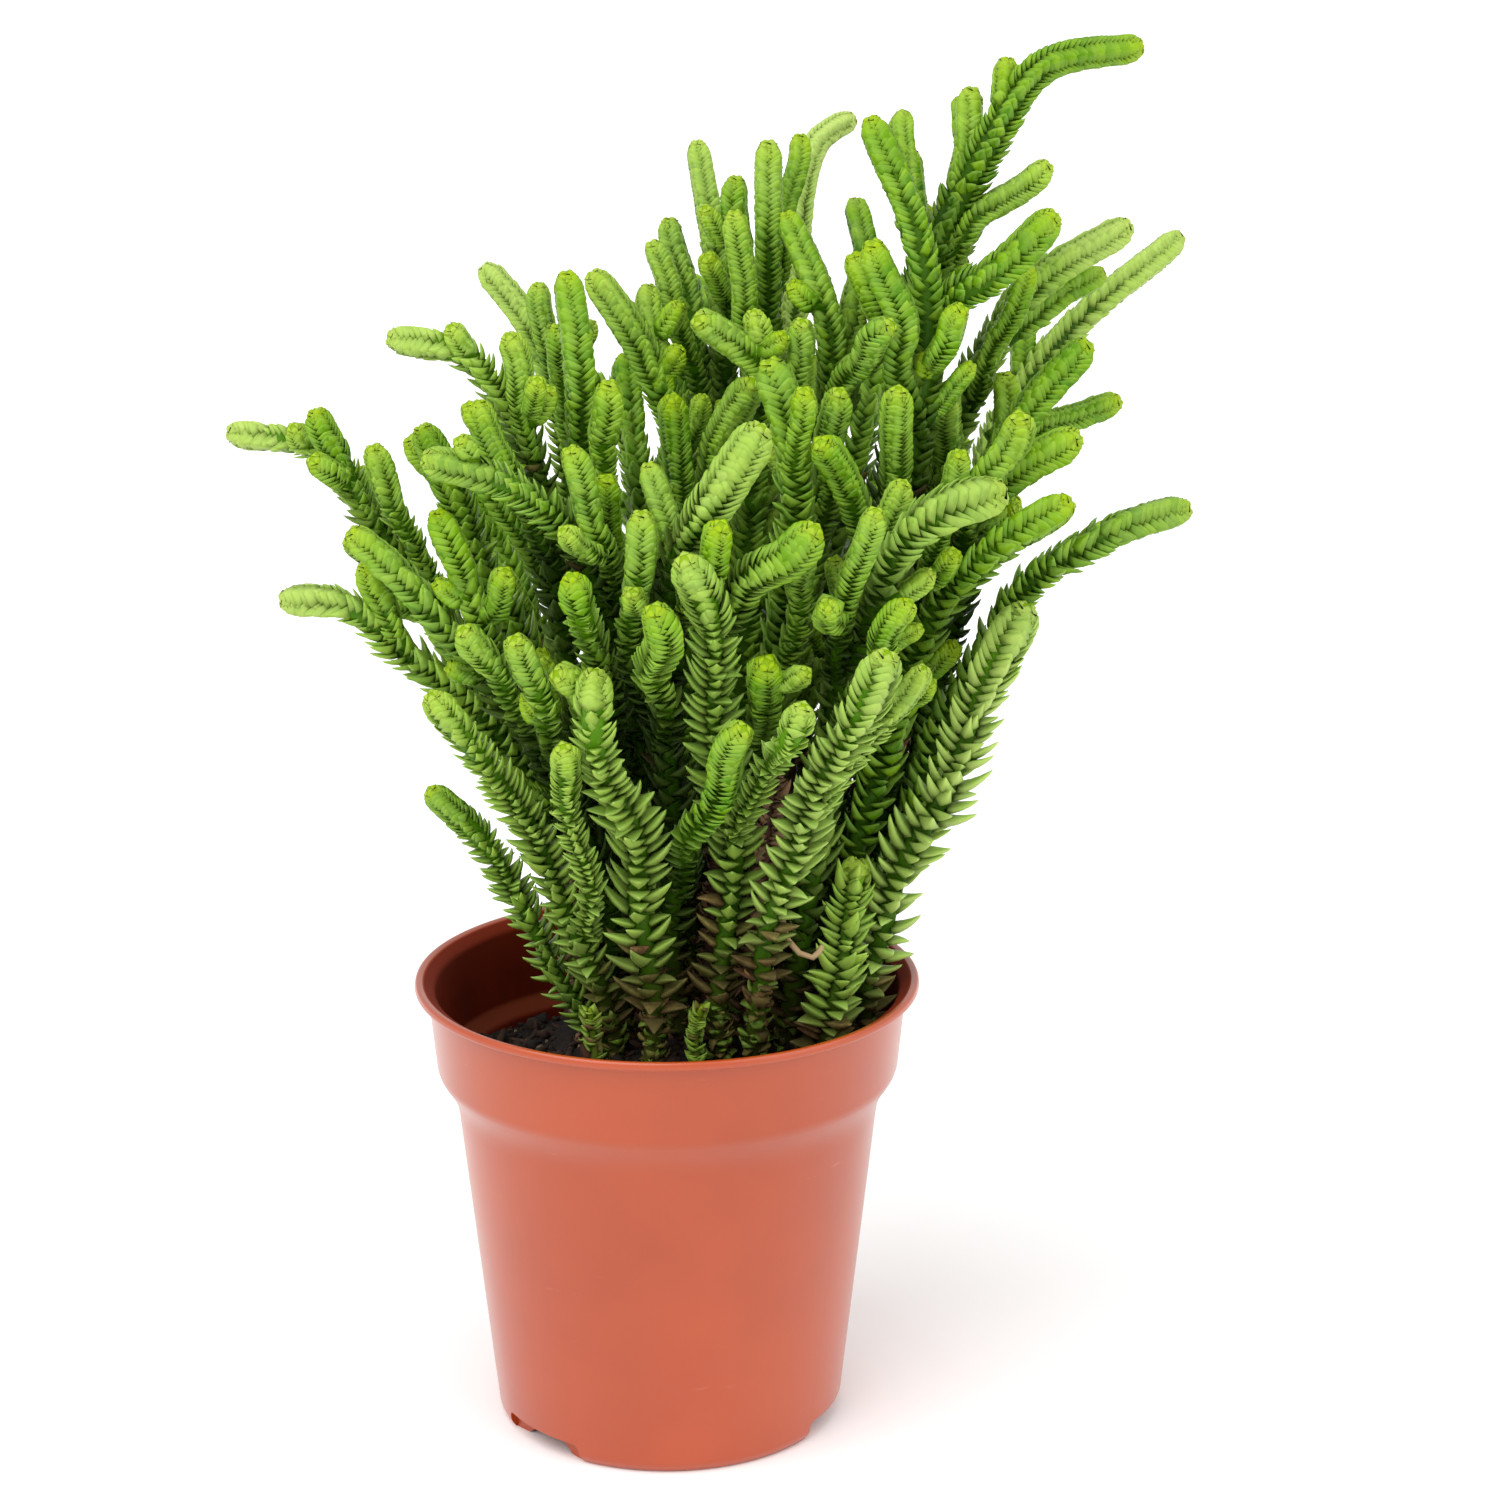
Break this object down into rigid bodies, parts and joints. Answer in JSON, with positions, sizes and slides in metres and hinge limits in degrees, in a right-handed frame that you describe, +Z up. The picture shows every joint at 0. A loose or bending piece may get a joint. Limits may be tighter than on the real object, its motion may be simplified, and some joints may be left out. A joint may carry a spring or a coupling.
{
  "type": "potted watch chain crassula",
  "caption": "Small succulent bush of leafy stems, with four-ranked scale leaves, growing in a tapered plastic nursery pot of soil.",
  "frame": {"origin": "middle of the pot's underside, on the surface it stands on", "axes": "+Z up through the pot, +X to the right and +Y away as seen from the front"},
  "size_m": [0.161, 0.1039, 0.2332],
  "materials": {
    "pot": "satin",
    "soil": "matte",
    "leaf": "satin",
    "dry_stem": "matte"
  },
  "bodies": {
    "root": {"pot": "pot", "soil": "soil", "stem_left_front": "leaf", "stem_left_long": "leaf", "stem_left_far": "leaf", "stem_left_high": "leaf", "stem_left_back": "leaf", "stem_centre_tall": "leaf", "stem_front_left": "leaf", "stem_front_high": "leaf", "stem_front_middle": "leaf", "stem_centre_right": "leaf", "stem_right_middle": "leaf", "stem_back_left": "leaf", "stem_back_middle": "leaf", "stem_back_right": "leaf", "stem_right_tall": "leaf", "stem_right_highest": "leaf", "stem_right_upper": "leaf", "stem_right_outer": "leaf", "stem_right_front": "leaf", "stem_right_wide": "leaf", "stem_right_edge": "leaf", "stem_right_bright": "leaf", "stem_right_low": "leaf", "young_shoot_left": "leaf", "young_shoot_right": "leaf", "stem_far_side_1": "leaf", "stem_far_side_2": "leaf", "stem_far_side_3": "leaf", "stem_far_side_4": "leaf", "stem_far_side_5": "leaf", "stem_far_side_6": "leaf", "stem_far_side_7": "leaf", "dead_stem_left": "dry_stem", "dead_stem_right": "dry_stem"}
  },
  "joints": []
}
